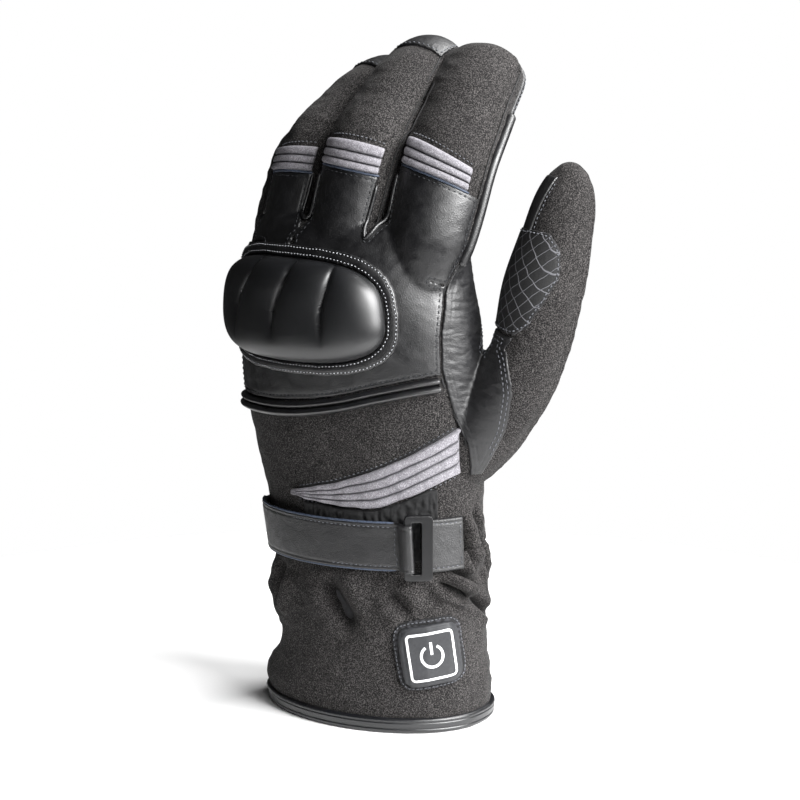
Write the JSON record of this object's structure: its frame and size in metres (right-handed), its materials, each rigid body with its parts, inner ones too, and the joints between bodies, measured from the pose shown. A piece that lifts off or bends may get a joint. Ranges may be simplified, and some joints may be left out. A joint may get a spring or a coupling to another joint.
{
  "type": "heated glove",
  "caption": "Left-hand heated riding glove in its worn form, with padded hollow fingers, knuckle guard, ribbed reflective bands, wrist strap with loop and switch pad on the cuff.",
  "frame": {"origin": "middle of the cuff's opening, level with the hem", "axes": "+Z from the hem towards the fingertips, -Y out of the back of the hand, +X towards the thumb's side"},
  "size_m": [0.1406, 0.0877, 0.2567],
  "materials": {
    "softshell": "matt brushed softshell cloth, speckled dark grey",
    "leather": "black full-grain leather with a soft sheen",
    "reflective_ribs": "pale grey heathered reflective cloth",
    "guard_shell": "satin black moulded shell",
    "gathered_elastic": "matt black gathered elastic",
    "webbing": "black woven tape with stitching",
    "moulded_loop": "black moulded plastic with a low sheen",
    "hem_binding": "glossy black folded binding",
    "grip_net": "black cloth under a pale diamond net of thread",
    "switch_rubber": "soft dark grey rubber with a white printed symbol"
  },
  "bodies": {
    "root": {"hand_shell": "softshell", "index_stall": "softshell", "middle_stall": "softshell", "ring_stall": "softshell", "little_stall": "softshell", "thumb_stall": "softshell", "cuff": "softshell", "hem_binding": "hem_binding", "knuckle_panel": "leather", "knuckle_guard": "guard_shell", "guard_border": "leather", "panel_piping": "leather", "side_panel": "leather", "palm_panel": "leather", "index_ribs": "reflective_ribs", "middle_ribs": "reflective_ribs", "ring_ribs": "reflective_ribs", "index_tip": "leather", "middle_tip": "leather", "ring_tip": "leather", "little_tip": "leather", "thumb_patch": "grip_net", "wrist_ribs": "reflective_ribs", "wrist_elastic": "gathered_elastic", "strap": "leather", "strap_tab": "webbing", "strap_anchor": "leather", "strap_loop": "moulded_loop", "switch_surround": "webbing", "switch_pad": "switch_rubber"}
  },
  "joints": []
}
